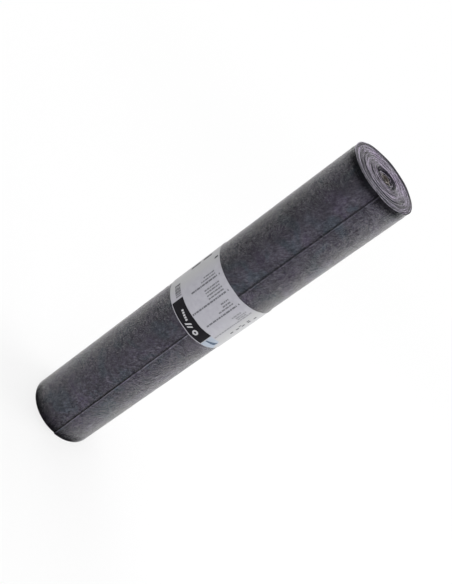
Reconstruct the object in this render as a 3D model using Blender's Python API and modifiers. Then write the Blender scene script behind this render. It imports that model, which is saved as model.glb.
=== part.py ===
"""Roll of protective felt, standing on its end, closed by a printed paper band round its middle.

The felt is one sheet wound inwards from its free edge: tight outer turns, then a few loose turns
round the hollow in the middle. The band goes once round the roll, bridges the step at the felt's
free edge and laps over its own start at the back, where a strip of adhesive holds it.

Metres, +Z up along the roll, the origin on the floor under the middle of the roll. Angles are
counted from the front, -Y, towards +X.
"""

import math

import bmesh
import bpy
import numpy as np

# Felt web
web_width = 1.0
web_thickness = 0.00235
roll_radius = 0.089
turn_gap = 0.00047
free_edge_angle = math.radians(17.0)
points_per_turn = 40

# Loose turns round the hollow, squashed from two sides and leaning to one
hollow_radius = 0.0125
core_gap = 0.0026
core_turns = 3.4
core_squash = 0.0052
core_squash_turns = 0.8
squash_even_share = 0.65
squash_back_share = 0.35
core_sway_share = 0.45
core_sway_angle = math.radians(60.0)

# Inner end of the felt, which curls into the hollow
end_curl = 0.0020
end_curl_turns = 0.3

# Slack turn part way in, where the inner turns lie away from the outer ones on one side
slack_radius = 0.060
slack_gap = 0.0013
slack_angle = math.radians(-10.0)

# Paper band
band_width = 0.153
band_thickness = 0.0003
band_height = 0.4665
band_lean = 0.0031
band_clearance = 0.0003
band_points_per_turn = 2 * points_per_turn

# Lap of the band at the back, and the adhesive strip in it
lap_angle = math.radians(180.0)
lap_length = 0.024
lap_run_in = 0.036
glue_width = 0.014
glue_thickness = 0.0002
glue_end_margin = 0.008
glue_segments = 4

# Colours and roughness of the three materials
felt_colour = (0.062, 0.061, 0.069)
felt_roughness = 0.95
paper_colour = (0.47, 0.46, 0.50)
paper_roughness = 0.6
glue_colour = (0.72, 0.66, 0.48)
glue_roughness = 0.4

# Worked out from the sizes above
turn_pitch = web_thickness + turn_gap
core_pitch = web_thickness + core_gap
outer_middle_radius = roll_radius - web_thickness / 2
core_start_radius = hollow_radius + web_thickness / 2 + core_turns * core_pitch
tight_turns = (outer_middle_radius - core_start_radius) / turn_pitch
all_turns = tight_turns + core_turns
slack_turns_in = (roll_radius - slack_radius) / turn_pitch
edge_radius = roll_radius + band_clearance
bridge_angle = math.acos((edge_radius - turn_pitch) / edge_radius)
lap_span = lap_length / roll_radius
run_in_span = lap_run_in / roll_radius
glue_span = glue_width / roll_radius
lap_lift = band_thickness + glue_thickness + 2 * band_clearance
full_circle = 2 * math.pi


def smooth_step(value):
    """Rise from 0 to 1 as value goes from 0 to 1, level at both ends."""
    inside = min(max(value, 0), 1)
    return inside * inside * (3 - 2 * inside)


def web_radius(turn):
    """Radius of the felt's middle line, this many turns in from its free edge."""
    angle = free_edge_angle + full_circle * turn
    tight = min(turn, tight_turns)
    loose = max(turn - tight_turns, 0)
    radius = outer_middle_radius - tight * turn_pitch - loose * core_pitch

    slack_side = (1 + math.cos(angle - slack_angle)) / 2
    radius -= slack_gap * smooth_step(turn - slack_turns_in) * slack_side

    sway = core_sway_share * math.cos(angle - core_sway_angle)
    radius -= core_gap * loose * sway

    into_core = (turn - tight_turns + core_squash_turns) / core_squash_turns
    sideways = math.sin(angle) ** 2
    backwards = squash_even_share - squash_back_share * math.cos(angle)
    radius -= core_squash * smooth_step(into_core) * sideways * backwards

    into_curl = (turn - all_turns + end_curl_turns) / end_curl_turns
    return radius - end_curl * smooth_step(into_curl)


def band_radius(angle):
    """Radius of the band's inner face, on the felt or bridging the step at its free edge."""
    past_edge = (angle - free_edge_angle) % full_circle
    on_felt = web_radius(past_edge / full_circle) + web_thickness / 2 + band_clearance
    before_edge = min(full_circle - past_edge, bridge_angle)
    bridge = edge_radius * math.cos(bridge_angle) / math.cos(bridge_angle - before_edge)
    return max(on_felt, bridge)


def at_angle(radius, angle):
    """Point in the floor plan at this radius and angle round the roll's axis."""
    return (radius * math.sin(angle), -radius * math.cos(angle))


def felt_path():
    """Middle line of the wound felt, from its free edge inwards."""
    count = int(all_turns * points_per_turn)
    turns = [index / points_per_turn for index in range(count + 1)]
    return [(web_radius(turn), free_edge_angle + full_circle * turn) for turn in turns]


def band_path():
    """Middle line of the band: once round the roll, rising at the end over its own start."""
    start = lap_angle - lap_span / 2
    end = start + full_circle + lap_span
    step = full_circle / band_points_per_turn
    first = math.ceil((start - free_edge_angle) / step)
    last = math.floor((end - free_edge_angle) / step)
    between = [free_edge_angle + index * step for index in range(first, last + 1)]
    path = []
    for angle in [start] + [each for each in between if start < each < end] + [end]:
        rise = smooth_step((angle - start - full_circle + run_in_span) / run_in_span)
        path.append((band_radius(angle) + band_thickness / 2 + lap_lift * rise, angle))
    return path


def glue_path():
    """Middle line of the adhesive strip, between the two laps of the band."""
    start = lap_angle - glue_span / 2
    angles = [start + glue_span * index / glue_segments for index in range(glue_segments + 1)]
    inset = band_thickness + band_clearance + glue_thickness / 2
    return [(band_radius(angle) + inset, angle) for angle in angles]


def least_gap(path, thickness):
    """Least distance between neighbouring turns of a wound sheet, less its thickness."""
    points = np.array([at_angle(radius, angle) for radius, angle in path])
    starts = points[:-1]
    runs = points[1:] - starts
    half_turn = points_per_turn // 2
    least = math.inf
    for index, point in enumerate(points):
        away = point - starts
        along = np.clip((away * runs).sum(1) / (runs * runs).sum(1), 0, 1)
        distance = np.linalg.norm(away - along[:, None] * runs, axis=1)
        apart = np.abs(np.arange(len(starts)) - index) > half_turn
        least = min(least, distance[apart].min())
    return least - thickness


def make_material(name, colour, roughness):
    """Principled material with one colour and no metal."""
    material = bpy.data.materials.new(name)
    material.use_nodes = True
    shader = material.node_tree.nodes["Principled BSDF"]
    shader.inputs["Base Color"].default_value = (*colour, 1)
    shader.inputs["Roughness"].default_value = roughness
    shader.inputs["Metallic"].default_value = 0
    return material


def make_sheet(name, path, thickness, low, high, lean, material):
    """Sheet that stands along a path round the axis, thickened to both sides of it.

    Its foot and head are level, or lean across the front by a little to each side.
    """
    mesh = bpy.data.meshes.new(name)
    shape = bmesh.new()
    foot = []
    for radius, angle in path:
        foot.append(shape.verts.new((*at_angle(radius, angle), low - lean * math.sin(angle))))
    edges = [shape.edges.new(pair) for pair in zip(foot, foot[1:])]
    raised = bmesh.ops.extrude_edge_only(shape, edges=edges)["geom"]
    top = [item for item in raised if isinstance(item, bmesh.types.BMVert)]
    bmesh.ops.translate(shape, vec=(0, 0, high - low), verts=top)
    bmesh.ops.recalc_face_normals(shape, faces=shape.faces)
    shape.to_mesh(mesh)
    shape.free()
    mesh.shade_smooth()
    mesh.materials.append(material)

    sheet = bpy.data.objects.new(name, mesh)
    solidify = sheet.modifiers.new("thickness", "SOLIDIFY")
    solidify.thickness = thickness
    solidify.offset = 0
    solidify.use_even_offset = True
    return sheet


def length_of(path):
    """Length of a path along its own points."""
    points = np.array([at_angle(radius, angle) for radius, angle in path])
    return float(np.linalg.norm(np.diff(points, axis=0), axis=1).sum())


def make_axis(collection):
    """Empty on the roll's axis, set so that the roll's widest outline is centred on the origin."""
    outline = []
    for radius, angle in band_path():
        outline.append(at_angle(radius + band_thickness / 2, angle))
    lows = [min(values) for values in zip(*outline)]
    highs = [max(values) for values in zip(*outline)]
    axis = bpy.data.objects.new("roll_axis", None)
    axis.location = (-(lows[0] + highs[0]) / 2, -(lows[1] + highs[1]) / 2, 0)
    axis.empty_display_size = roll_radius
    collection.objects.link(axis)
    return axis


def make_felt_web():
    """The whole web of felt, wound up."""
    felt = make_material("felt", felt_colour, felt_roughness)
    path = felt_path()
    print(f"felt: {all_turns:.2f} turns, {length_of(path):.2f} m of web")
    print(f"felt: least gap to itself {1000 * least_gap(path, web_thickness):.2f} mm")
    return make_sheet("felt_web", path, web_thickness, 0, web_width, 0, felt)


def make_label_band():
    """Paper band, a little askew on the roll as it was put on."""
    paper = make_material("band_paper", paper_colour, paper_roughness)
    path = band_path()
    print(f"band: {length_of(path):.3f} m of paper")
    top = band_height + band_width
    return make_sheet("label_band", path, band_thickness, band_height, top, band_lean, paper)


def make_band_glue():
    """Adhesive strip that closes the band, not quite as long as the band is wide."""
    glue = make_material("adhesive", glue_colour, glue_roughness)
    low = band_height + glue_end_margin
    high = band_height + band_width - glue_end_margin
    return make_sheet("band_glue", glue_path(), glue_thickness, low, high, band_lean, glue)


def build_roll():
    """Empty scene, then the roll's axis with its three pieces on it."""
    for old in list(bpy.data.objects):
        bpy.data.objects.remove(old, do_unlink=True)
    parts = bpy.data.collections.new("roll_of_protective_felt")
    bpy.context.scene.collection.children.link(parts)
    axis = make_axis(parts)
    for piece in (make_felt_web(), make_label_band(), make_band_glue()):
        piece.parent = axis
        parts.objects.link(piece)


build_roll()
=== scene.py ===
"""Looks of the roll of protective felt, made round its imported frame.

The wound felt is rebuilt at its real number of turns, with its mottled faces and cut ends.
The paper band is rebuilt finer, with a plain generic print laid on it.
Metres, +Z up along the roll. Angles are counted from the front, -Y, towards +X.
"""

import math
import random
from math import cos, radians, sin

import bmesh
import bpy
from mathutils import Matrix, Vector, noise


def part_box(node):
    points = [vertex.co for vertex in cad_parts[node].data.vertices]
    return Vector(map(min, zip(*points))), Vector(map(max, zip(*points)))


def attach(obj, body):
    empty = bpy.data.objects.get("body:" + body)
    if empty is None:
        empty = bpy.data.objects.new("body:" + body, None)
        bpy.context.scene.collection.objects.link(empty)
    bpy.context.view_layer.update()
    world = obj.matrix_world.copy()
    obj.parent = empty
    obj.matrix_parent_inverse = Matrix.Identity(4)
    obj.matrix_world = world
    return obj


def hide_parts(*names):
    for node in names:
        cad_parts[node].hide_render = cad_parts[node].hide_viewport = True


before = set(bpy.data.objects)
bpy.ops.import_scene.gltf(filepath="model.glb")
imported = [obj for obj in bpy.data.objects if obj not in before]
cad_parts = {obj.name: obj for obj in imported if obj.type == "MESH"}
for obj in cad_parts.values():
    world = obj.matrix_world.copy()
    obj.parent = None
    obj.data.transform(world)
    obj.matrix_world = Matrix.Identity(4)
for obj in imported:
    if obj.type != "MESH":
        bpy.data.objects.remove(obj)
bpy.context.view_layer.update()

# Camera fitted to the photograph: height and focal length in pixels, then its place and angles
PHOTO_HEIGHT = 584
FOCAL_PIXELS = 1143.3
EYE_DISTANCE = 2.1836
EYE_HEIGHT = 1.7687
EYE_TILT = radians(29.08)
PICTURE_ROLL = radians(54.12)
SENSOR_HEIGHT = 24.0
FAR_CLIP = 200.0

# Felt web as it is sold, and the solids' winding of it
WEB_WIDTH = 1.0
CAD_PITCH = 0.00282
CAD_RADIUS = 0.089
FREE_EDGE_ANGLE = radians(17.0)

# Tight turns, pressed thin at the back of the roll and slack at its front
ROLL_RADIUS = 0.0888
FIRST_PITCH = 0.00275
TIGHT_TURNS = 24
TIGHT_PITCH = 0.00175
EVEN_SLACK = 0.0072
SLACK_ANGLE = radians(168.3)
WEB_FILL = 0.97

# Slack between single turns: the turn after which it opens, and its gap at the front
SLACKS = ((2.95, 0.0018), (5.95, 0.0014), (9.95, 0.0036), (12.95, 0.0008), (15.95, 0.0016), (17.95, 0.0018),
          (20.95, 0.0018), (22.95, 0.0028))

# Slant of the free edge: at its head and foot, height of its bend, and turns in which it fades
FREE_EDGE_HEAD = radians(-1.3)
FREE_EDGE_FOOT = radians(4.4)
FREE_EDGE_BEND = 0.62
FREE_EDGE_SKEW_TURNS = 0.08

# Loose turns in the hollow: turns in, right and back of the roll's axis, radius of the outer face
LOOSE_TURNS = 2.6
LOOSE_PATH = ((0.0, 0.0030, 0.0145, 0.0310), (0.12, 0.0036, 0.0140, 0.0235), (0.3, 0.0040, 0.0135, 0.0207),
              (0.6, 0.0040, 0.0130, 0.0196), (0.9, 0.0034, 0.0120, 0.0190), (1.3, 0.0034, 0.0120, 0.0155),
              (1.8, 0.0030, 0.0115, 0.0120), (2.6, 0.0026, 0.0105, 0.0078))
LOOSE_THICKNESS = 0.0020

# Divisions of the meshes: columns in a turn, levels up the web, steps of the paper; least sharp angle
OUTER_TURNS = 1.04
OUTER_COLUMNS = 240
INNER_COLUMNS = 96
COARSE_LEVELS = (0.0, 0.0012, 0.004, 0.010, 0.025, 0.10, 0.50, 0.90, 0.975, 0.990, 0.996, 0.9988, 1.0)
OUTER_LEVEL_STEP = 0.006
BAND_STEP = radians(1.0)
BAND_ROW_STEP = 0.006
SHARP_ANGLE = radians(50.0)

# Material slots of the felt: its face, its cut edges, and cut edges darkened with painted shade; the
# fringes' slots follow them
FACE_SLOT, CUT_SLOT, SHADED_CUT_SLOT = 0, 1, 2

# Fringes of the web's outer face, with less sheen so that the painted shade at the rim and foot shows: reach
# from either end, reach each side of the front, and sheen
FRINGES = ((0.026, radians(70.0), 0.7), (0.016, radians(62.0), 0.4), (0.010, radians(54.0), 0.12))

# Smooth noises in the cut edges: strength, steps per turn or metre, steps round the roll, and seed.
# They set how far the edges lie back and how light they are: in groups of turns, then turn by turn
EDGE_NOISES = ((0.6, 0.55, 0.5, 0.0), (0.7, 2.7, 0.9, 7.0))
TONE_NOISES = ((0.8, 0.9, 0.35, 20.0), (2.3, 3.1, 1.1, 40.0))
RAGGED_NOISE = (0.0030, 2.1, 2.0, 50.0)
RING_WANDER_NOISE = (0.0016, 60.0, 0.9, 0.0)
RING_CLEARNESS_NOISE = (0.7, 900.0, 1.2, 0.0)

# Lumps of the outer face: their mean level, then strength, steps along and up the web, and seed
LUMP_DEPTH = 0.00045
LUMP_LEVEL = -0.5
LUMPS = ((0.38, 14.0, 9.0, 3.0), (0.25, 60.0, 45.0, 5.0))

# Cut edges: how far back a noise of 1 puts them, its mean, height it fades over, share at the foot, crown
EDGE_RELIEF = 0.0011
EDGE_LEVEL = 0.5
EDGE_REACH = 0.06
FOOT_SHARE = 0.4
EDGE_CROWN = 0.00035

# Groove under the rim: the lip's height and the groove's depth, then its end and fade in lip heights
LIP_HEIGHT = 0.004
LIP_GROOVE = 0.0009
GROOVE_END = 1.5
GROOVE_FADE = 2.0

# Far rim: the outer turn stands proud there, and its cut edge is darkened with painted shade between two
# angles
FAR_RIM_TURNS = 1.1
FAR_RIM_DIP = 0.0017
SHADED_RIM = (radians(58.0), radians(240.0))

# Loose turns lie further back: soon, more at the far side, and then more by the turn
LOOSE_RECESS = 0.0007
LOOSE_NEAR_SHARE = 0.15
LOOSE_RECESS_RATE = 1.5
LOOSE_DEEPENING = 0.0013

# Frayed stretch of the rim: middle and span, the turn most frayed and the turns each side of it,
# its waves' height and their number in a full circle, and the tones of the outermost turns
FRILL_ANGLE = radians(74.0)
FRILL_SPAN = radians(34.0)
FRILL_TURN = 1.2
FRILL_TURNS = 1.3
FRILL_HEIGHT = 0.0034
FRILL_WAVES = 31.0
FRILL_TONES = (-2.6, 2.4, -2.6, 1.4, -0.6)
FRILL_TONE_GAIN = 1.6

# Flecks in the cut edges: their noise, what the loose turns add to its numbers, and how early
FLECK_NOISE = (2.8, 7.3, 11.0, 80.0)
CORE_FLECK_CHANGE = (1.8, 0.0, -7.5, 0.0)
CORE_TONE_TURNS = 1.5

# Painted light and shade across the cut end, with the back lit and the sides and front shaded, dark below
# zero: at the back, then by the near side's share and its square
PAINTED_LIGHT_ACROSS = (1.3, -6.2, 4.75)

# Rings in the cut end: radius, reach, strength at the front and at the back
RINGS = ((0.0875, 0.0034, 1.7, 0.0), (0.0826, 0.0046, 0.0, -4.8), (0.0808, 0.0034, -2.4, 0.0),
         (0.0757, 0.0036, 2.6, -1.4), (0.0703, 0.0040, -3.8, 1.2), (0.0655, 0.0032, 0.3, 1.2),
         (0.0603, 0.0040, -3.7, -0.3), (0.0545, 0.0034, 0.6, -0.8), (0.0484, 0.0056, 3.2, 0.6),
         (0.0365, 0.0040, -1.8, 0.0), (0.0200, 0.0076, 2.4, 0.0))
RING_NARROWEST = 0.52
RING_CLEARNESS = 0.9

# Light and dark places of the rim: strength, angle and reach round it, then turns, or radius and reach
LIGHT_RIM = (1.3, radians(278.0), radians(40.0), 1.2)
DARK_RIM = (2.8, radians(310.0), radians(38.0), 0.0880, 0.0046)

# Tone of the loose turns: at the sides, how much darker at front and back, and how fast it sets in
LOOSE_SIDE_TONE = 1.4
LOOSE_FRONT_TONE = 2.6
LOOSE_TONE_RATE = 5.0

# Stripes up the outer turn, lighter below zero: place and reach as shares of the turn, from its free edge,
# and strength at the foot, under the middle, over it and at the head
STRIPES = ((0.840, 0.115, 0.26, 0.40, 0.53, 0.48), (0.069, 0.048, 0.13, 0.12, 0.20, 0.07),
           (0.961, 0.040, 0.0, 0.0, -0.16, -0.18), (0.128, 0.030, 0.05, -0.06, -0.14, -0.22))

# Shares of the outer turn, from its free edge: a more uneven part, and the middle of the back
RIGHT_PLACE = 0.075
BACK_PLACE = 0.453

# Noise in the felt's face: offset, lean and stretch of streaks, then scale, detail, roughness, distortion
FACE_NOISES = {
    "patches": ((3.1, 0.7, 0.0), None, (26.0, 2.0, 0.5, 0.6)),
    "tints": ((8.3, 5.9, 0.0), None, (15.0, 2.0, 0.6, 0.8)),
    "olives": ((6.1, 2.6, 0.0), None, (19.0, 2.0, 0.6, 0.6)),
    "tufts": ((2.9, 4.4, 0.0), (0.25, 1.8), (90.0, 3.0, 0.6, 0.3)),
    "clouds": (None, (0.35, 2.6), (270.0, 4.0, 0.68, 0.3)),
    "flecks": ((7.7, 3.3, 0.0), (0.5, 1.7), (170.0, 3.0, 0.72, 0.2)),
    "grain": (None, None, (900.0, 3.0, 0.7, 0.0)),
}

# Fibres in it: offset, lean and stretch of streaks, scale and width, share of their colour, and colour
FACE_FIBRES = {
    "long": ((0.4, 2.2, 0.0), (0.30, 2.2), (105.0, 0.030), 0.24, (0.150, 0.147, 0.168)),
    "short": ((5.0, 1.0, 0.0), (1.1, 1.8), (190.0, 0.035), 0.20, (0.145, 0.144, 0.160)),
    "dark": ((1.7, 9.0, 0.0), (0.45, 2.0), (120.0, 0.030), 0.32, (0.018, 0.017, 0.024)),
}

# Lint, one tuft to a cell: which chance of the cell, its test and limit, share of the colour, and colour
LINT_CELLS = (420.0, 150.0, 1.0)
LINT_LEAN = 0.7
LINT = ((0, "GREATER_THAN", 0.90, 0.45, (0.26, 0.26, 0.29)),
        (0, "LESS_THAN", 0.03, 0.5, (0.05, 0.09, 0.20)),
        (1, "GREATER_THAN", 0.975, 0.4, (0.20, 0.06, 0.06)))

# Colours of the felt, as linear red, green and blue, and how far from the web's end the hollow's set in
FACE_DARK, FACE_LIGHT = (0.038, 0.034, 0.049), (0.087, 0.081, 0.103)
FACE_COOL, FACE_WARM, FACE_OLIVE = (0.040, 0.061, 0.077), (0.062, 0.047, 0.084), (0.076, 0.075, 0.062)
# In the hollow the face turns browner and lighter: a brown tint, with painted light on the hollow's walls
FACE_IN_CORE = (0.160, 0.138, 0.108)
CUT_DARK, CUT_LIGHT = (0.100, 0.085, 0.113), (0.152, 0.134, 0.172)
# The third of these is painted shade: a cool tint on the front of the cut end
CUT_VIOLET, CUT_GREY, CUT_SHADE_TINT = (0.126, 0.096, 0.152), (0.120, 0.116, 0.130), (0.114, 0.111, 0.136)
CUT_IN_CORE = (0.124, 0.103, 0.078)
# How light the cut edges darkened with painted shade are, as a share of the others
SHADED_CUT_LIGHT = 0.28
CORE_START, FACE_CORE_FULL, CUT_CORE_FULL = 0.17, 0.10, 0.11

# Paper band
BAND_WIDTH = 0.153
BAND_THICKNESS = 0.0003
BAND_HEIGHT = 0.4665
BAND_LEAN = 0.0031
BAND_CLEARANCE = 0.0003
LAP_ANGLE = radians(180.0)
LAP_LENGTH = 0.024
LAP_RUN_IN = 0.036
LAP_LIFT = 0.0011
BAND_BENDS = tuple(radians(0.5 * k) for k in range(-4, 5))
BAND_WAVE = 0.00012
WAVE_STEPS = (1.6, 1.3, 11.0)
PAPER_DARK, PAPER_LIGHT = (0.430, 0.423, 0.474), (0.478, 0.474, 0.520)
PAPER_COOL, PAPER_SIDES = (0.457, 0.463, 0.487), (0.462, 0.462, 0.472)
GLUE_DARK, GLUE_LIGHT = (0.66, 0.58, 0.38), (0.78, 0.72, 0.54)

# Print on the band, by degrees round it and metres up it. Rows of dashes: angle, start and end
INK_LIFT = 0.00006
DASH_LENGTHS = (0.003, 0.011)
DASH_GAP = 0.0013
LAST_DASH = 0.002
PRINT_SEED = 8
SMALL_ROWS = ((-36.4, 0.1005, 0.1335), (-31.9, 0.0915, 0.1335), (-18.5, 0.0915, 0.1355),
              (-14.6, 0.0915, 0.1355), (-10.1, 0.0915, 0.1355), (-5.6, 0.0915, 0.1355),
              (10.1, 0.1085, 0.1305), (14.6, 0.1085, 0.1305), (18.5, 0.0915, 0.1335))
SMALL_THICKNESS = 0.0034
HEADING_ROWS = ((-27.2, 0.0585, 0.1360), (-0.6, 0.0365, 0.1365), (24.2, 0.0465, 0.1355))
HEADING_THICKNESS = 0.0040

# Faint rows of dashes: angle, start, end and thickness
FAINT_ROWS = ((36.8, 0.1035, 0.1315, 0.0044), (48.4, 0.0335, 0.1435, 0.0044),
              (41.0, 0.1085, 0.1385, 0.0040), (44.6, 0.1085, 0.1335, 0.0040))

# Patches with straight sides: first and last angle, lowest and highest place
HEADING_DOTS = ((-28.4, -26.0, 0.1410, 0.1440), (-1.8, 0.6, 0.1415, 0.1445), (23.0, 25.4, 0.1405, 0.1435))
MARKS = ((59.0, 61.0, 0.0905, 0.0975), (60.0, 62.0, 0.1125, 0.1195), (-77.0, -71.0, 0.0635, 0.0905),
         (-77.0, -71.0, 0.1005, 0.1255), (-58.0, -54.5, 0.1385, 0.1485))
STEPPED_MARK = (60.5, 63.3, 0.0625, 0.0705)
MARK_STEP = (1.1, 0.016)
PANEL_BLOCK = (-16.5, -14.0, 0.0180, 0.0235)
BLOCK_STEP = (3.6, -0.0009)
REPEATS = 5

# Bars: first and last angle, lowest and highest place, and the widths and gaps to choose from
BARS = (-58.0, -37.4, 0.0160, 0.0325)
BAR_WIDTHS = (0.45, 0.45, 0.9, 1.3)
BAR_GAPS = (0.45, 0.7, 0.9)

# Patches with slanting sides, by their corners; the ring by its middle, reaches and count of sides
PANEL = ((-32.5, 0.0017), (40.3, 0.0018), (40.3, 0.0348), (-32.5, 0.0342))
PANEL_STROKES = (((1.6, 0.0080), (4.2, 0.0080), (9.4, 0.0215), (6.8, 0.0215)),
                 ((6.8, 0.0080), (9.0, 0.0080), (13.6, 0.0195), (11.4, 0.0195)))
PANEL_RING = (21.0, 0.0150, (4.6, 0.0062), (2.0, 0.0025), 14)
SKY = ((41.5, 0.0010), (68.0, 0.0005), (62.0, 0.0270), (41.5, 0.0330))
WEDGE = ((42.5, 0.0140), (62.0, 0.0115), (64.0, 0.0215), (42.5, 0.0170))

# Inks: dark and light colour, and some have a roughness and a scale of unevenness of their own
INKS = {
    "black": ((0.0025, 0.0020, 0.0045), (0.011, 0.010, 0.014), 0.40),
    "white": ((0.50, 0.50, 0.53), (0.62, 0.62, 0.64)),
    "heading": ((0.14, 0.14, 0.16), (0.19, 0.19, 0.21)),
    "small": ((0.18, 0.18, 0.20), (0.24, 0.24, 0.26)),
    "faint": ((0.27, 0.27, 0.29), (0.33, 0.33, 0.35)),
    "marks": ((0.06, 0.06, 0.07), (0.09, 0.09, 0.10)),
    "bars": ((0.07, 0.07, 0.08), (0.11, 0.11, 0.12)),
    "sky": ((0.36, 0.41, 0.49), (0.42, 0.47, 0.54), 0.5, 90.0),
    "wedge": ((0.07, 0.10, 0.15), (0.11, 0.15, 0.20)),
}

# Floor: reach, drop under the roll, colours, and share of plain white near the roll and where it is full
FLOOR_REACH = 30.0
FLOOR_DROP = 0.0004
FLOOR_DARK, FLOOR_LIGHT = (0.80, 0.80, 0.80), (0.82, 0.82, 0.82)
FLOOR_NEAR_SHARE = 0.72
FLOOR_NEAR, FLOOR_FAR = 0.3, 2.6

# Light of the world, and lights: position, point faced, width and height, and watts
WHITE = (1.0, 1.0, 1.0)
WORLD_LEVEL = 0.42
LIGHTS = {
    "top_light": ((-0.2, 0.6, 3.4), (0.0, 0.0, 0.6), (2.4, 2.4), 62.0),
    "left_light": ((-2.0, 1.5, 1.1), (0.0, 0.0, 0.5), (1.4, 2.4), 15.0),
    "right_light": ((2.1, 1.15, 1.1), (0.0, 0.0, 0.5), (1.6, 2.4), 48.0),
    "front_light": ((0.8, -3.1, 1.5), (0.0, 0.0, 0.5), (2.2, 1.8), 33.0),
}

FULL_CIRCLE = 2 * math.pi
ALL_TURNS = TIGHT_TURNS + LOOSE_TURNS
TINY = 1e-9
WELD_DISTANCE = 1e-6


def smooth_step(value):
    """Rise from 0 to 1 as value goes from 0 to 1, level at both ends."""
    inside = min(max(value, 0.0), 1.0)
    return inside * inside * (3.0 - 2.0 * inside)


def ridge(value, middle, reach):
    """1 at the middle, falling to 0 this far from it."""
    return smooth_step(1.0 - abs(value - middle) / reach)


def round_noise(along, angle, *recipes):
    """Smooth noise about zero that meets itself once round the roll."""
    level = 0.0
    for strength, steps_along, steps_round, seed in recipes:
        right, back = sin(angle) * steps_round, cos(angle) * steps_round
        level += strength * noise.noise(Vector((along * steps_along, right, seed + back)))
    return level


def roll_axis():
    """Where the roll's axis stands: the solid's outline winds in by half a pitch each half turn."""
    low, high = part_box("felt_web")
    middle = (low + high) / 2
    return Vector((middle.x - CAD_PITCH / 4, middle.y - CAD_PITCH / 4, 0.0))


AXIS = roll_axis()


def place(radius, angle, height):
    """Point at this radius and angle round the roll's axis."""
    x = AXIS.x + radius * sin(angle)
    return Vector((x, AXIS.y - radius * cos(angle), height))


def add_object(name, data):
    """Object with this mesh, light or camera, in the scene."""
    made = bpy.data.objects.new(name, data)
    bpy.context.scene.collection.objects.link(made)
    return made


def finished_mesh(name, shape):
    """Mesh of a built shape, which is freed."""
    mesh = bpy.data.meshes.new(name)
    shape.to_mesh(mesh)
    shape.free()
    return mesh


# Felt

def winding(turn):
    """Centre and radius of the felt's outer face, this many turns in from its free edge."""
    if turn < TIGHT_TURNS:
        past_first = max(turn - 1.0, 0.0)
        slack = EVEN_SLACK * past_first / (TIGHT_TURNS - 1)
        slack += sum(gap / 2 * smooth_step(turn - after) for after, gap in SLACKS)
        radius = ROLL_RADIUS - FIRST_PITCH * min(turn, 1.0) - TIGHT_PITCH * past_first - slack
        return slack * sin(SLACK_ANGLE), -slack * cos(SLACK_ANGLE), radius
    loose = turn - TIGHT_TURNS
    for before, after in zip(LOOSE_PATH, LOOSE_PATH[1:]):
        if loose <= after[0] + TINY:
            share = (loose - before[0]) / (after[0] - before[0])
            return tuple(low + (high - low) * share for low, high in zip(before[1:], after[1:]))


def web_thickness(turn, angle):
    """Thickness of the felt, which the winding presses most at the back of the roll."""
    slack = EVEN_SLACK / (TIGHT_TURNS - 1) * (1.0 - cos(angle - SLACK_ANGLE))
    tight = WEB_FILL * (TIGHT_PITCH + slack)
    share = smooth_step(turn - TIGHT_TURNS + 1.0) * smooth_step(turn - TIGHT_TURNS)
    return tight + (LOOSE_THICKNESS - tight) * share


def web_place(turn, angle, inwards, height):
    """Point this far in from the felt's outer face."""
    right, back, radius = winding(turn)
    x = AXIS.x + right + (radius - inwards) * sin(angle)
    return Vector((x, AXIS.y + back - (radius - inwards) * cos(angle), height))


def near_side(angle):
    """1 towards the front of the roll and 0 towards its back."""
    return smooth_step(0.5 + 0.8 * cos(angle))


def at_angle(angle, middle, reach):
    """1 at an angle round the roll, falling to 0 this far from it."""
    return ridge(angle % FULL_CIRCLE, middle, reach)


def edge_height(turn, angle):
    """How far a cut edge of the web lies back from the roll's end."""
    back = EDGE_RELIEF * (EDGE_LEVEL + round_noise(turn, angle, *EDGE_NOISES))
    far_side = 1.0 - near_side(angle)
    back += far_side * FAR_RIM_DIP * smooth_step(turn - FAR_RIM_TURNS)
    frill = at_angle(angle, FRILL_ANGLE, FRILL_SPAN) * ridge(turn, FRILL_TURN, FRILL_TURNS)
    back -= FRILL_HEIGHT * frill * sin(angle * FRILL_WAVES)
    loose = max(turn - TIGHT_TURNS, 0.0)
    back += smooth_step(loose + 0.5) * round_noise(turn, angle, RAGGED_NOISE)
    recess = LOOSE_RECESS * smooth_step(loose * LOOSE_RECESS_RATE)
    back += recess * (LOOSE_NEAR_SHARE + (1.0 - LOOSE_NEAR_SHARE) * far_side)
    return back + LOOSE_DEEPENING * loose


def ring_tone(radius, angle):
    """How much lighter or darker the rings make the cut end here."""
    near = near_side(angle)
    narrow = RING_NARROWEST + (1.0 - RING_NARROWEST) * abs(cos(angle))
    wander = round_noise(1.0, angle, RING_WANDER_NOISE)
    tone = 0.0
    for line, reach, front, back in RINGS:
        clear = RING_CLEARNESS + round_noise(line, angle, RING_CLEARNESS_NOISE)
        strength = (front * near + back * (1.0 - near)) / narrow
        tone += strength * clear * ridge(radius + wander, line, reach * narrow)
    return tone


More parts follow.
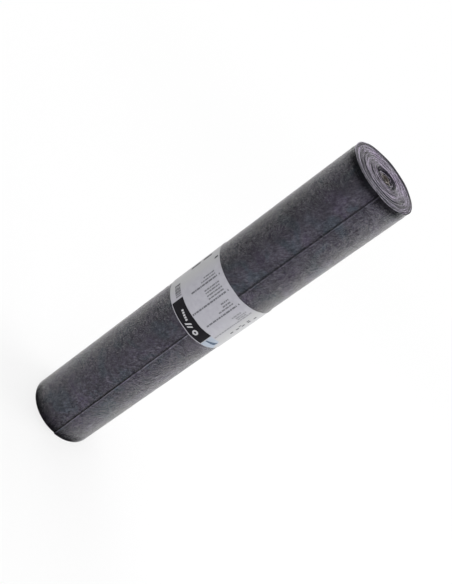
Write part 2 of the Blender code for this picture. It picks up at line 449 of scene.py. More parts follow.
def edge_tone(turn, angle):
    """How light a cut edge is, about zero: whole turns differ, and each changes on its way round, with
    painted light at the back of the end and painted shade at its sides and front.
    """
    in_core = smooth_step(turn - TIGHT_TURNS + CORE_TONE_TURNS)
    flecks = [number + change * in_core for number, change in zip(FLECK_NOISE, CORE_FLECK_CHANGE)]
    tone = round_noise(turn, angle, *TONE_NOISES, flecks)
    # Painted light and shade: the back of the end lighter, and its sides and front darker
    near = near_side(angle)
    tone += sum(factor * near ** power for power, factor in enumerate(PAINTED_LIGHT_ACROSS))
    radius = (web_place(turn, angle, web_thickness(turn, angle) / 2, 0.0) - AXIS).length
    if turn < TIGHT_TURNS:
        tone += ring_tone(radius, angle)
    if turn < len(FRILL_TONES):
        frill = smooth_step(FRILL_TONE_GAIN * at_angle(angle, FRILL_ANGLE, FRILL_SPAN))
        tone += frill * (FRILL_TONES[math.floor(turn)] - tone)
    strength, middle, reach, turns = LIGHT_RIM
    tone += strength * smooth_step(turns - turn) * at_angle(angle, middle, reach)
    strength, middle, reach, *line = DARK_RIM
    tone -= strength * ridge(radius, *line) * at_angle(angle, middle, reach)
    loose = smooth_step((turn - TIGHT_TURNS) * LOOSE_TONE_RATE)
    return tone + loose * (LOOSE_SIDE_TONE - LOOSE_FRONT_TONE * cos(angle) ** 2)


def face_lump(along, height):
    """Shallow hollows of the outer turn's face, from about -1 to 0."""
    level = LUMP_LEVEL
    for strength, steps_along, steps_up, seed in LUMPS:
        level += strength * noise.noise(Vector((along * steps_along, height * steps_up, seed)))
    return level


def column_turns():
    """Turns at which the web has a column of points, closer on the outer turn."""
    turns = []
    turn = 0.0
    while turn < ALL_TURNS:
        turns.append(turn)
        turn += 1 / OUTER_COLUMNS if turn < OUTER_TURNS else 1 / INNER_COLUMNS
    return turns + [ALL_TURNS]


def outer_levels():
    """Heights of the outer turn's face points, with every coarse level among them."""
    levels = []
    for low, high in zip(COARSE_LEVELS, COARSE_LEVELS[1:]):
        steps = max(1, round((high - low) / OUTER_LEVEL_STEP))
        levels += [low + (high - low) * step / steps for step in range(steps)]
    return levels + [COARSE_LEVELS[-1]]


def web_point(turn, along, across, height):
    """Point of the web: across is 0 on its outer face and 1 on its inner one."""
    skew = FREE_EDGE_HEAD + (FREE_EDGE_FOOT - FREE_EDGE_HEAD) * max(0.0, 1.0 - height / FREE_EDGE_BEND)
    angle = FREE_EDGE_ANGLE + FULL_CIRCLE * turn + skew * max(0.0, 1.0 - turn / FREE_EDGE_SKEW_TURNS)
    inwards = web_thickness(turn, angle) * across
    if turn < OUTER_TURNS:
        inwards -= LUMP_DEPTH * face_lump(along, height) * (1.0 - across)
        below_lip = (WEB_WIDTH - height) / LIP_HEIGHT
        groove = smooth_step(below_lip) * (1.0 - smooth_step((below_lip - GROOVE_END) / GROOVE_FADE))
        inwards += LIP_GROOVE * groove * (1.0 - across)
    back = edge_height(turn, angle)
    top_share = smooth_step((height - WEB_WIDTH + EDGE_REACH) / EDGE_REACH)
    foot_share = smooth_step((EDGE_REACH - height) / EDGE_REACH)
    return web_place(turn, angle, inwards, height - back * top_share + FOOT_SHARE * abs(back) * foot_share)


def web_columns(shape):
    """Columns of points along the wound web, the web's length, and its first turn's."""
    layers = [shape.verts.layers.float.new(name) for name in ("across", "tone", "along")]
    fine = outer_levels()
    columns = []
    along = 0.0
    last_turn = 0.0
    first_turn_length = 0.0
    for turn in column_turns():
        along += FULL_CIRCLE * (turn - last_turn) * winding((turn + last_turn) / 2)[2]
        last_turn = turn
        if turn <= 1.0:
            first_turn_length = along
        angle = FREE_EDGE_ANGLE + FULL_CIRCLE * turn
        tone = edge_tone(turn, angle)

        def point(across, height, lift=0.0):
            vert = shape.verts.new(web_point(turn, along, across, height) + Vector((0.0, 0.0, lift)))
            for layer, value in zip(layers, (across, tone, along)):
                vert[layer] = value
            return vert

        levels = fine if turn < OUTER_TURNS else COARSE_LEVELS
        outer = [point(0.0, height) for height in levels]
        inner = [point(1.0, height) for height in COARSE_LEVELS]
        foot, head = point(0.5, 0.0), point(0.5, WEB_WIDTH, EDGE_CROWN)
        columns.append({"angle": angle, "levels": levels, "outer": outer, "inner": inner,
                        "top": [outer[-1], head, inner[-1]], "bottom": [inner[0], foot, outer[0]]})
    return columns, along, first_turn_length


def fringe_slot(height, angle):
    """Slot of the web's outer face, whose front has less sheen in steps towards both ends, where painted
    shade lies.
    """
    from_end = min(height, WEB_WIDTH - height)
    slot = FACE_SLOT
    for number, (reach, half_front, _) in enumerate(FRINGES, SHADED_CUT_SLOT + 1):
        if from_end <= reach and cos(angle) > cos(half_front):
            slot = number
    return slot


def column_run(column, side, low, high):
    """Points of one side of a column from one height to another."""
    levels = column["levels"] if side == "outer" else COARSE_LEVELS
    return [vert for vert, height in zip(column[side], levels) if low <= height <= high]


def wound_felt():
    """The whole web as one closed sheet, wound up, and the web's length and its first turn's."""
    shape = bmesh.new()
    web_map = shape.loops.layers.uv.new("web")
    columns, web_length, first_turn_length = web_columns(shape)
    along_layer = shape.verts.layers.float["along"]

    def face(corners, slot):
        made = shape.faces.new(corners)
        made.material_index = slot
        made.smooth = True
        for loop in made.loops:
            loop[web_map].uv = (loop.vert[along_layer], loop.vert.co.z)

    spans = list(zip(COARSE_LEVELS, COARSE_LEVELS[1:]))
    for left, right in zip(columns, columns[1:]):
        if left["levels"] is right["levels"]:
            for k in range(len(left["levels"]) - 1):
                low, high = left["outer"][k], left["outer"][k + 1]
                slot = fringe_slot((left["levels"][k] + left["levels"][k + 1]) / 2, left["angle"])
                face((low, right["outer"][k], right["outer"][k + 1], high), slot)
        else:
            for low, high in spans:
                corners = column_run(right, "outer", low, high) + column_run(left, "outer", low, high)[::-1]
                face(corners, FACE_SLOT)
        for k in range(len(spans)):
            low, high = left["inner"][k], left["inner"][k + 1]
            face((right["inner"][k], low, high, right["inner"][k + 1]), FACE_SLOT)
        # The outer turn's cut edges round the far rim, at both ends, take the cut material darkened with
        # painted shade
        slot = SHADED_CUT_SLOT if SHADED_RIM[0] < left["angle"] < SHADED_RIM[1] else CUT_SLOT
        for edge in ("top", "bottom"):
            for k in range(2):
                face((left[edge][k], right[edge][k], right[edge][k + 1], left[edge][k + 1]), slot)
    # The web's two ends take the cut material darkened with painted shade, which darkens the step at the
    # free edge
    for column, flip in ((columns[0], False), (columns[-1], True)):
        ends = [column_run(column, "inner", low, high) + column_run(column, "outer", low, high)[::-1]
                for low, high in spans]
        for corners in ends + [column["top"][::-1], column["bottom"][::-1]]:
            face(corners[::-1] if flip else corners, SHADED_CUT_SLOT)

    bmesh.ops.recalc_face_normals(shape, faces=shape.faces)
    mesh = finished_mesh("felt", shape)
    mesh.set_sharp_from_angle(angle=SHARP_ANGLE)
    return add_object("wound_felt", mesh), web_length, first_turn_length


# Paper band

def band_radius(angle):
    """Inner face of the band: close on the felt, and drawn straight over the step at the free edge."""
    edge_radius = CAD_RADIUS + BAND_CLEARANCE
    bridge_angle = math.acos((edge_radius - CAD_PITCH) / edge_radius)
    radii = []
    for bend in BAND_BENDS:
        past_edge = (angle + bend - FREE_EDGE_ANGLE) % FULL_CIRCLE
        on_felt = edge_radius - CAD_PITCH * past_edge / FULL_CIRCLE
        before_edge = min(FULL_CIRCLE - past_edge, bridge_angle)
        bridge = edge_radius * cos(bridge_angle) / cos(bridge_angle - before_edge)
        radii.append(max(on_felt, bridge))
    return sum(radii) / len(radii)


LAP_SPAN = LAP_LENGTH / band_radius(LAP_ANGLE)
BAND_START = LAP_ANGLE - LAP_SPAN / 2
BAND_END = BAND_START + FULL_CIRCLE + LAP_SPAN
FRONT_ALONG = CAD_RADIUS * (FULL_CIRCLE - BAND_START)


def paper_point(angle, across, up):
    """Point of the band: angle may pass a full circle, across is metres from the inner face, up 0 to 1."""
    run_in = LAP_RUN_IN / band_radius(LAP_ANGLE)
    lift = LAP_LIFT * smooth_step((angle - BAND_START - FULL_CIRCLE + run_in) / run_in)
    steps_round, steps_up, seed = WAVE_STEPS
    wave = BAND_WAVE * (0.5 + noise.noise(Vector((angle * steps_round, up * steps_up, seed))))
    height = BAND_HEIGHT - BAND_LEAN * sin(angle) + BAND_WIDTH * up
    off_lap = smooth_step(5.0 - 6.0 * abs(angle - LAP_ANGLE - math.pi) / math.pi)
    return place(band_radius(angle) + lift + wave * off_lap + across, angle, height)


def paper_band():
    """The band as one closed strip of paper, once round the roll and lapped."""
    shape = bmesh.new()
    web_map = shape.loops.layers.uv.new("web")
    steps = math.ceil((BAND_END - BAND_START) / BAND_STEP)
    rows = round(BAND_WIDTH / BAND_ROW_STEP)
    sides = []
    for across in (0.0, BAND_THICKNESS):
        grid = []
        for step in range(steps + 1):
            angle = BAND_START + (BAND_END - BAND_START) * step / steps
            grid.append([shape.verts.new(paper_point(angle, across, row / rows)) for row in range(rows + 1)])
        sides.append(grid)
    inner, outer = sides

    def face(corners, places):
        made = shape.faces.new(corners)
        made.smooth = True
        for loop, (step, row) in zip(made.loops, places):
            along = CAD_RADIUS * (BAND_END - BAND_START) * step / steps
            loop[web_map].uv = (along, BAND_WIDTH * row / rows)

    for s in range(steps):
        for r in range(rows):
            places = ((s, r), (s + 1, r), (s + 1, r + 1), (s, r + 1))
            face([outer[a][b] for a, b in places], places)
            face([inner[a][b] for a, b in places[::-1]], places[::-1])
        for r in (0, rows):
            places = ((s, r), (s + 1, r), (s + 1, r), (s, r))
            face((outer[s][r], outer[s + 1][r], inner[s + 1][r], inner[s][r]), places)
    for s in (0, steps):
        for r in range(rows):
            places = ((s, r), (s, r + 1), (s, r + 1), (s, r))
            face((outer[s][r], outer[s][r + 1], inner[s][r + 1], inner[s][r]), places)
    bmesh.ops.recalc_face_normals(shape, faces=shape.faces)
    mesh = finished_mesh("band", shape)
    mesh.set_sharp_from_angle(angle=SHARP_ANGLE)
    return add_object("paper_band", mesh)


def printed(name, patches, film_number):
    """Film of ink, 1 on the paper or 2 on another film, of patches with four corners each."""
    shape = bmesh.new()
    for corners in patches:
        (a0, z0), (a1, z1), (a2, z2), (a3, z3) = corners
        wide = radians(max(abs(a1 - a0), abs(a2 - a3)))
        tall = max(abs(z3 - z0), abs(z2 - z1))
        across_steps = max(1, math.ceil(wide / BAND_STEP))
        up_steps = max(1, math.ceil(tall / BAND_ROW_STEP))
        grid = []
        for i in range(across_steps + 1):
            s = i / across_steps
            column = []
            for j in range(up_steps + 1):
                t = j / up_steps
                angle = (a0 * (1 - s) + a1 * s) * (1 - t) + (a3 * (1 - s) + a2 * s) * t
                height = (z0 * (1 - s) + z1 * s) * (1 - t) + (z3 * (1 - s) + z2 * s) * t
                turned = radians(angle) + FULL_CIRCLE
                across = BAND_THICKNESS + film_number * INK_LIFT
                column.append(shape.verts.new(paper_point(turned, across, height / BAND_WIDTH)))
            grid.append(column)
        for i in range(across_steps):
            for j in range(up_steps):
                made = shape.faces.new((grid[i][j], grid[i + 1][j], grid[i + 1][j + 1], grid[i][j + 1]))
                made.smooth = True
    bmesh.ops.remove_doubles(shape, verts=shape.verts, dist=WELD_DISTANCE)
    return add_object(name, finished_mesh(name, shape))


def patch(start, end, low, high):
    """Patch of print with sides round and along the roll."""
    return ((start, low), (end, low), (end, high), (start, high))


def stepped(first, step):
    """A patch repeated, each time moved on by degrees round and metres up the band."""
    start, end, low, high = first
    right, up = step
    return [patch(start + right * k, end + right * k, low + up * k, high + up * k) for k in range(REPEATS)]


def ring(angle, height, outer, inner, count):
    """Patches of an oval ring about a point; its reaches are degrees round and metres along."""
    rim = []
    for k in range(count + 1):
        turn = FULL_CIRCLE * k / count
        rim.append([(angle + wide * cos(turn), height + tall * sin(turn))
                    for wide, tall in (inner, outer)])
    return [(a[0], a[1], b[1], b[0]) for a, b in zip(rim, rim[1:])]


def dashes(angle, low, high, thickness, random_source):
    """Row of dashes, like a line of small print running along the roll."""
    half = math.degrees(thickness / CAD_RADIUS) / 2
    row = []
    start = low
    while start < high - LAST_DASH:
        end = min(start + random_source.uniform(*DASH_LENGTHS), high)
        row.append(patch(angle - half, angle + half, start, end))
        start = end + DASH_GAP
    return row


def bar_row(random_source):
    """Row of upright bars of mixed widths."""
    start, end, low, high = BARS
    row = []
    while start < end:
        wide = random_source.choice(BAR_WIDTHS)
        row.append(patch(start, start + wide, low, high))
        start += wide + random_source.choice(BAR_GAPS)
    return row


# Materials

class Shader:
    """Nodes of a material or world, added one at a time. Colours are given as red, green and blue."""

    def __init__(self, name, owners=bpy.data.materials):
        self.owner = owners.new(name)
        self.owner.use_nodes = True
        self.tree = self.owner.node_tree
        self.surface = self.tree.nodes.get("Principled BSDF")

    def put(self, node, name, value):
        """Set a socket, or link it to another node's output."""
        socket = node.inputs[name]
        if isinstance(value, bpy.types.NodeSocket):
            self.tree.links.new(value, socket)
        else:
            socket.default_value = (*value, 1.0) if socket.type == "RGBA" else value

    def node(self, kind, inputs, **settings):
        made = self.tree.nodes.new("ShaderNode" + kind)
        for name, value in settings.items():
            setattr(made, name, value)
        for name, value in inputs.items():
            self.put(made, name, value)
        return made

    def web(self):
        """Place on the flat sheet: metres along it and up it."""
        return self.node("UVMap", {}, uv_map="web").outputs[0]

    def spot(self):
        """Place in the object's own space."""
        return self.node("TexCoord", {}).outputs["Object"]

    def parts(self, vector):
        return self.node("SeparateXYZ", {0: vector}).outputs[:3]

    def stored(self, name):
        """Number kept on the mesh's points."""
        return self.node("Attribute", {}, attribute_name=name).outputs["Fac"]

    def seen(self):
        """1 to the camera, also by way of a mirror or glass, and 0 to the light on things."""
        path = self.node("LightPath", {}).outputs
        mirrored = self.math("MAXIMUM", path["Is Glossy Ray"], path["Is Transmission Ray"])
        return self.math("MAXIMUM", path["Is Camera Ray"], mirrored)

    def math(self, operation, first, second=0.0, third=0.0):
        inputs = {0: first, 1: second, 2: third}
        return self.node("Math", inputs, operation=operation).outputs[0]

    def times(self, first, *others):
        product = first
        for other in others:
            product = self.math("MULTIPLY", product, other)
        return product

    def total(self, *weighted):
        """Sum of values, each times its weight."""
        total = 0.0
        for value, weight in weighted:
            total = self.math("MULTIPLY_ADD", value, weight, total)
        return total

    def rest(self, share):
        """What a share leaves of one."""
        return self.math("SUBTRACT", 1.0, share)

    def away(self, value, middle):
        """How far a value is from the middle, either way."""
        return self.math("ABSOLUTE", self.math("ADD", value, -middle))

    def spread(self, value, low, high, to_low=0.0, to_high=1.0):
        """Value carried from one range to another, held at its ends."""
        inputs = {"Value": value, "From Min": low, "From Max": high, "To Min": to_low, "To Max": to_high}
        return self.node("MapRange", inputs, interpolation_type="SMOOTHSTEP").outputs["Result"]

    def mix(self, share, first, second, blend_type="MIX"):
        """Two colours mixed by share."""
        inputs = {0: share, 6: first, 7: second}
        return self.node("Mix", inputs, data_type="RGBA", blend_type=blend_type).outputs[2]

    def shaded(self, colour, shade):
        """Colour made lighter or darker by a factor."""
        grey = self.node("CombineColor", {0: shade, 1: shade, 2: shade}).outputs[0]
        return self.mix(1.0, colour, grey, "MULTIPLY")

    def noise(self, vector, scale, detail=3.0, roughness=0.55, distortion=0.0):
        inputs = {"Vector": vector, "Scale": scale, "Detail": detail, "Roughness": roughness,
                  "Distortion": distortion}
        return self.node("TexNoise", inputs).outputs[0]

    def moved(self, vector, offset, scale=(1.0, 1.0, 1.0), turn=0.0):
        inputs = {"Vector": vector, "Location": offset, "Scale": scale, "Rotation": (0.0, 0.0, turn)}
        return self.node("Mapping", inputs).outputs[0]

    def streaked(self, vector, lean, stretch):
        """Vector for a noise that runs in streaks, which lean this far from up the web."""
        inputs = {"Vector": vector, "Rotation": (0.0, 0.0, -lean), "Scale": (1.0, stretch, 1.0)}
        return self.node("Mapping", inputs, vector_type="TEXTURE").outputs[0]

    def fibres(self, vector, scale, width):
        """Thin crooked lines, 1 on a fibre and 0 off it."""
        off_line = self.away(self.noise(vector, scale, 3.0, 0.5, 2.2), 0.5)
        return self.spread(off_line, 0.0, width, 1.0, 0.0)

    def finish(self, colour, roughness, relief, strength, distance, **fixed):
        """Material with this colour, roughness and relief, and the surface's fixed sockets set."""
        bump = self.node("Bump", {"Strength": strength, "Distance": distance, "Height": relief})
        self.put(self.surface, "Base Color", colour)
        self.put(self.surface, "Roughness", roughness)
        self.put(self.surface, "Normal", bump.outputs[0])
        for name, value in fixed.items():
            self.put(self.surface, name.replace("_", " "), value)
        return self.owner


def face_fields(shader, web):
    """Noise and fibres of the felt's face, by name."""
    fields = {}
    for name, (offset, streaks, recipe) in FACE_NOISES.items():
        vector = shader.moved(web, offset) if offset else web
        vector = shader.streaked(vector, *streaks) if streaks else vector
        fields[name] = shader.noise(vector, *recipe)
    for name, (offset, streaks, recipe, _, _) in FACE_FIBRES.items():
        fields[name] = shader.fibres(shader.streaked(shader.moved(web, offset), *streaks), *recipe)
    return fields


def face_colour(shader, web, fields):
    """Colour of the mixed fibres: mottled grey with cool and warm tints, single fibres and lint."""
    colour = shader.mix(shader.spread(fields["clouds"], 0.36, 0.65), FACE_DARK, FACE_LIGHT)
    colour = shader.mix(shader.spread(fields["tints"], 0.50, 0.64, 0.0, 0.48), colour, FACE_COOL)
    colour = shader.mix(shader.spread(fields["tints"], 0.48, 0.34, 0.0, 0.40), colour, FACE_WARM)
    for name, (_, _, _, share, tint) in FACE_FIBRES.items():
        colour = shader.mix(shader.times(fields[name], share), colour, tint)
    cells = shader.moved(web, (0.0, 0.0, 0.0), LINT_CELLS, LINT_LEAN)
    lint = shader.node("TexVoronoi", {"Vector": cells, "Scale": 1.0})
    chances = shader.node("SeparateColor", {0: lint.outputs["Color"]}).outputs
    near = shader.spread(lint.outputs["Distance"], 0.10, 0.22, 1.0, 0.0)
    for channel, test, limit, share, tint in LINT:
        tuft = shader.times(near, shader.math(test, chances[channel], limit), share)
        colour = shader.mix(tuft, colour, tint)
    return colour


def stripe_strength(shader, height, foot, middle, high, head):
    """Strength of a stripe up the outer turn, by height."""
    strength = shader.math("ADD", shader.spread(height, 0.12, 0.38, foot, middle),
                           shader.spread(height, 0.42, 0.68, 0.0, high - middle))
    return shader.math("ADD", strength, shader.spread(height, 0.78, 0.90, 0.0, head - high))


def crease_shade(shader, along, height, first_turn_length):
    """Painted shade in the corner beside the free edge, which slants."""
    rise = shader.math("MAXIMUM", 0.0, shader.math("MULTIPLY_ADD", height, -1.0 / FREE_EDGE_BEND, 1.0))
    reach = (FREE_EDGE_FOOT - FREE_EDGE_HEAD) * ROLL_RADIUS
    slant = shader.math("MULTIPLY_ADD", rise, reach, FREE_EDGE_HEAD * ROLL_RADIUS)
    past = shader.math("SUBTRACT", shader.math("SUBTRACT", along, first_turn_length), slant)
    deepest = shader.spread(height, 0.22, 0.34, 0.04, 0.44)
    return shader.spread(shader.away(past, -0.0006), 0.0010, 0.0038, deepest, 1.0)


def end_shade(shader, web, height, at_ends):
    """Painted shade of the outer turn's face towards the rim and the foot."""
    ragged = shader.math("MULTIPLY_ADD", shader.noise(web, 90.0, 3.0, 0.7), 0.024,
                         shader.math("ADD", height, -0.012))
    rim = shader.times(at_ends, shader.spread(ragged, 0.974, 0.992, 0.0, 0.80))
    foot = shader.times(at_ends, shader.spread(ragged, 0.000, 0.062, 0.82, 0.0))
    return shader.rest(rim), shader.rest(foot)


def felt_face(name, web_length, first_turn_length, sheen):
    """Material of the felt's mottled, needle-punched face."""
    shader = Shader(name)
    web = shader.web()
    along, height, _ = shader.parts(web)
    fields = face_fields(shader, web)
    colour = face_colour(shader, web, fields)
    # In the hollow the face turns browner and lighter, here and in its shade below: a brown tint, with
    # painted light on the hollow's walls
    in_core = shader.spread(along, web_length - CORE_START, web_length - FACE_CORE_FULL)
    colour = shader.mix(shader.times(in_core, 0.6), colour, FACE_IN_CORE)

    outer = shader.spread(along, first_turn_length * OUTER_TURNS, first_turn_length * 1.05, 1.0, 0.0)
    round_turn = shader.times(along, 1.0 / first_turn_length)
    off_right = shader.math("PINGPONG", shader.math("ADD", round_turn, -RIGHT_PLACE), 0.5)
    off_back = shader.away(round_turn, BACK_PLACE)
    olive = shader.times(shader.spread(fields["olives"], 0.46, 0.62),
                         shader.spread(off_back, 0.40, 0.31, 0.0, 0.5))
    colour = shader.mix(shader.times(outer, olive), colour, FACE_OLIVE)

    uneven = shader.times(shader.spread(off_right, 0.08, 0.21, 0.24, 0.06),
                          shader.spread(height, 0.25, 0.60, 1.8, 1.0))
    dullest, lightest = shader.rest(uneven), shader.math("ADD", 1.0, uneven)
    shade = shader.times(shader.spread(fields["patches"], 0.30, 0.70, 0.84, 1.16),
                         shader.spread(fields["tufts"], 0.34, 0.66, 0.88, 1.12),
                         shader.spread(fields["flecks"], 0.36, 0.64, dullest, lightest),
                         shader.spread(in_core, 0.0, 1.0, 1.0, 1.15))
    for place_round, reach, *strengths in STRIPES:
        near = shader.spread(shader.away(round_turn, place_round), 0.0, reach, 1.0, 0.0)
        stripe = shader.times(outer, near, stripe_strength(shader, height, *strengths))
        shade = shader.times(shade, shader.rest(stripe))
    # Painted shade under the rim and at the foot, with less of it at the back, then painted shade in the
    # corner at the free edge
    at_ends = shader.times(outer, shader.spread(off_back, 0.26, 0.335, 0.35, 1.0))
    shade = shader.times(shade, *end_shade(shader, web, height, at_ends))
    shade = shader.times(shade, crease_shade(shader, along, height, first_turn_length))
    # Painted highlight along the free edge's lip, flecked, and stronger low down
    lip = shader.times(shader.spread(along, 0.0001, 0.0008), shader.spread(along, 0.0032, 0.0016),
                       shader.spread(fields["flecks"], 0.38, 0.60, 0.35, 1.25),
                       shader.spread(height, 0.44, 0.62, 1.5, 0.6))
    shade = shader.math("ADD", shade, lip)

    relief = shader.total((fields["grain"], 0.15), (fields["clouds"], 0.6), (fields["tufts"], 0.5),
                          (shader.times(fields["flecks"], uneven), 3.4), (fields["short"], 0.15))
    roughness = shader.spread(fields["grain"], 0.3, 0.7, 0.88, 1.0)
    return shader.finish(shader.shaded(colour, shade), roughness, relief, 1.0, 0.0016,
                         Specular_IOR_Level=0.10 * sheen, Sheen_Weight=sheen, Sheen_Roughness=0.32)


def felt_cut(name, web_length, light):
    """Material of the felt's cut edges: paler inside than on its faces."""
    shader = Shader(name)
    spot = shader.spot()
    clouds = shader.noise(shader.moved(spot, (0.3, 0.2, 0.1), (1.0, 1.0, 0.5)), 110.0, 4.0, 0.65, 0.5)
    tints = shader.noise(spot, 28.0, 2.0, 0.5, 0.6)
    grain = shader.noise(spot, 1100.0, 2.0, 0.7)
    tufts = shader.noise(spot, 380.0, 2.0, 0.7)
    colour = shader.mix(shader.spread(clouds, 0.3, 0.7), CUT_DARK, CUT_LIGHT)
    colour = shader.mix(shader.spread(tints, 0.50, 0.70, 0.0, 0.55), colour, CUT_VIOLET)
    colour = shader.mix(shader.spread(tints, 0.48, 0.32, 0.0, 0.45), colour, CUT_GREY)
    along = shader.parts(shader.web())[0]
    in_core = shader.spread(along, web_length - CORE_START, web_length - CUT_CORE_FULL, 0.0, 0.70)
    colour = shader.mix(in_core, colour, CUT_IN_CORE)
    sideways, backwards, _ = shader.parts(spot)
    # Painted shade: a cool tint towards the front of the cut end
    colour = shader.mix(shader.spread(backwards, -0.015, -0.075, 0.0, 0.6), colour, CUT_SHADE_TINT)

    across, tone = shader.stored("across"), shader.stored("tone")
    # The seams between turns are darkened with painted shade, standing in for the shadow in the gaps
    middle = shader.times(across, shader.rest(across))
    # Lightness of the cut edges, with the back of the end lit by painted light
    shade = shader.times(shader.spread(middle, 0.0, 0.20, 0.40, 1.14),
                         shader.spread(tone, -1.6, 1.6, 0.30, 1.70),
                         shader.spread(grain, 0.3, 0.7, 0.75, 1.25),
                         shader.spread(tufts, 0.34, 0.66, 0.50, 1.50),
                         shader.spread(backwards, 0.020, 0.060, 1.0, 1.30),
                         shader.spread(sideways, 0.030, 0.070, 1.0, 0.86),
                         light)
    relief = shader.total((grain, 0.5), (clouds, 0.5))
    roughness = shader.spread(grain, 0.3, 0.7, 0.9, 1.0)
    return shader.finish(shader.shaded(colour, shade), roughness, relief, 0.5, 0.0006,
                         Specular_IOR_Level=0.15 * light, Sheen_Weight=0.3 * light, Sheen_Roughness=0.5)


def paper():
    """Material of the band's lightly coated paper."""
    shader = Shader("band_paper")
    web = shader.web()
    mottle = shader.noise(web, 90.0, 3.0, 0.6)
    wide = shader.noise(web, 16.0, 2.0, 0.5, 0.4)
    grain = shader.noise(web, 1400.0, 2.0, 0.6)
    creases = shader.fibres(shader.moved(web, (2.0, 3.0, 0.0), (0.6, 1.0, 1.0)), 11.0, 0.05)
    colour = shader.mix(shader.spread(mottle, 0.3, 0.7), PAPER_DARK, PAPER_LIGHT)
    colour = shader.mix(shader.spread(wide, 0.45, 0.75, 0.0, 0.5), colour, PAPER_COOL)
    off_front = shader.away(shader.parts(web)[0], FRONT_ALONG)
    colour = shader.mix(shader.spread(off_front, 0.055, 0.095), colour, PAPER_SIDES)
    relief = shader.total((grain, 0.03), (wide, 1.0), (creases, 0.12))
    roughness = shader.spread(mottle, 0.3, 0.7, 0.48, 0.60)
    return shader.finish(colour, roughness, relief, 0.5, 0.0012, Specular_IOR_Level=0.25)


def ink(name, dark, light, rough=0.5, scale=500.0):
    """Material of one ink, a little uneven as it lies on the paper."""
    shader = Shader("ink_" + name)
    cover = shader.noise(shader.spot(), scale, 3.0, 0.7)
    colour = shader.mix(shader.spread(cover, 0.35, 0.70), dark, light)
    roughness = shader.spread(cover, 0.3, 0.7, rough, rough + 0.12)
    return shader.finish(colour, roughness, cover, 0.2, 0.0002, Specular_IOR_Level=0.12)


def glue():
    """Material of the strip of set adhesive between the laps."""
    shader = Shader("set_glue")
    beads = shader.noise(shader.spot(), 260.0, 3.0, 0.6, 0.8)
    colour = shader.mix(shader.spread(beads, 0.35, 0.65), GLUE_DARK, GLUE_LIGHT)
    return shader.finish(colour, shader.spread(beads, 0.3, 0.7, 0.25, 0.45), beads, 0.4, 0.0003)


# The roll

felt, web_length, first_turn_length = wound_felt()
felt.data.materials.append(felt_face("felt_face", web_length, first_turn_length, 1.0))
felt.data.materials.append(felt_cut("felt_cut", web_length, 1.0))
# Cut edges darkened with painted shade
felt.data.materials.append(felt_cut("felt_cut_painted_shade", web_length, SHADED_CUT_LIGHT))
for number, (_, _, sheen) in enumerate(FRINGES, 1):
    felt.data.materials.append(felt_face("felt_fringe_%d" % number, web_length, first_turn_length, sheen))
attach(felt, "roll")
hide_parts("felt_web")

# The band and its print

band = paper_band()
band.data.materials.append(paper())
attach(band, "band")
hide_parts("label_band")

letters = random.Random(PRINT_SEED)
small_print = [dash for row in SMALL_ROWS for dash in dashes(*row, SMALL_THICKNESS, letters)]
headings = [dash for row in HEADING_ROWS for dash in dashes(*row, HEADING_THICKNESS, letters)]
headings += [patch(*dot) for dot in HEADING_DOTS]
faint_print = [dash for row in FAINT_ROWS for dash in dashes(*row, letters)]
marks = stepped(STEPPED_MARK, MARK_STEP) + [patch(*mark) for mark in MARKS]
panel_words = stepped(PANEL_BLOCK, BLOCK_STEP) + list(PANEL_STROKES) + ring(*PANEL_RING)

# Pieces of print: name, patches, ink, and the film that it is, counted from the paper
PRINTS = (("print_panel", [PANEL], "black", 1),
          ("print_panel_words", panel_words, "white", 2),
          ("print_headings", headings, "heading", 1),
          ("print_small", small_print, "small", 1),
          ("print_faint", faint_print, "faint", 1),
          ("print_marks", marks, "marks", 1),
          ("print_bars", bar_row(letters), "bars", 1),
          ("print_sky", [SKY], "sky", 1),
          ("print_wedge", [WEDGE], "wedge", 2))
for name, patches, ink_name, film_number in PRINTS:
    film = printed(name, patches, film_number)
    film.data.materials.append(ink(ink_name, *INKS[ink_name]))
    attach(film, "band")

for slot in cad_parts["band_glue"].material_slots:
    slot.material = glue()


# Floor, lights and camera

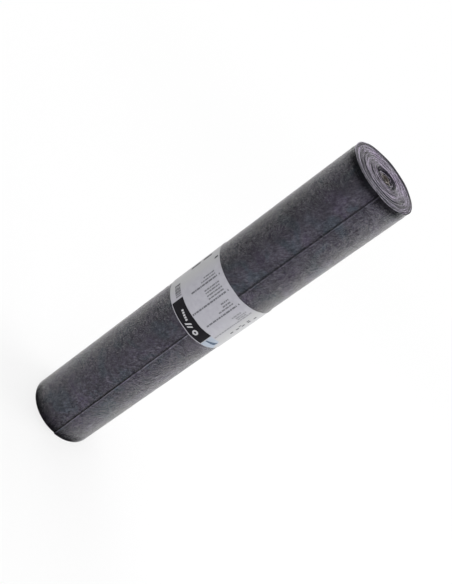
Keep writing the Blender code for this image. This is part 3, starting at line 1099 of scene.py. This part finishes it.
def floor():
    """Wide pale floor under the roll, white to the camera where no shadow falls."""
    mesh = bpy.data.meshes.new("floor")
    corners = [(x * FLOOR_REACH, y * FLOOR_REACH, 0.0) for x, y in ((-1, -1), (1, -1), (1, 1), (-1, 1))]
    mesh.from_pydata(corners, [], [(0, 1, 2, 3)])
    made = add_object("floor", mesh)
    shader = Shader("floor")
    spot = shader.spot()
    colour = shader.mix(shader.noise(spot, 3.0, 2.0), FLOOR_DARK, FLOOR_LIGHT)
    for name, value in (("Base Color", colour), ("Roughness", 0.9), ("Specular IOR Level", 0.1)):
        shader.put(shader.surface, name, value)
    white = shader.node("Emission", {"Color": WHITE, "Strength": 1.0})
    away = shader.node("VectorMath", {0: spot}, operation="LENGTH").outputs["Value"]
    share = shader.times(shader.seen(), shader.spread(away, FLOOR_NEAR, FLOOR_FAR, FLOOR_NEAR_SHARE, 1.0))
    shown = shader.node("MixShader", {0: share, 1: shader.surface.outputs[0], 2: white.outputs[0]})
    shader.put(shader.tree.nodes["Material Output"], "Surface", shown.outputs[0])
    made.data.materials.append(shader.owner)
    made.location.z = -FLOOR_DROP


def white_world():
    """World that shows white and lights at a level of its own."""
    shader = Shader("studio", bpy.data.worlds)
    background = shader.tree.nodes["Background"]
    shader.put(background, "Color", WHITE)
    shader.put(background, "Strength", shader.spread(shader.seen(), 0.0, 1.0, WORLD_LEVEL, 1.0))
    bpy.context.scene.world = shader.owner


def softbox(name, position, aim, size, power):
    """Rectangular soft light at a position, facing a point."""
    data = bpy.data.lights.new(name, "AREA")
    data.shape = "RECTANGLE"
    data.size, data.size_y = size
    data.energy = power
    made = add_object(name, data)
    made.location = position
    made.rotation_euler = (Vector(aim) - Vector(position)).to_track_quat("-Z", "Y").to_euler()


floor()
white_world()
for name, recipe in LIGHTS.items():
    softbox(name, *recipe)

camera = bpy.data.cameras.new("camera")
camera.sensor_fit = "VERTICAL"
camera.sensor_height = SENSOR_HEIGHT
camera.lens = FOCAL_PIXELS / PHOTO_HEIGHT * SENSOR_HEIGHT
camera.clip_end = FAR_CLIP
eye = add_object("camera", camera)
facing = Matrix.Rotation(radians(90.0) - EYE_TILT, 4, "X") @ Matrix.Rotation(PICTURE_ROLL, 4, "Z")
eye.matrix_world = Matrix.Translation(AXIS + Vector((0.0, -EYE_DISTANCE, EYE_HEIGHT))) @ facing
bpy.context.scene.camera = eye
bpy.context.scene.view_settings.view_transform = "Standard"
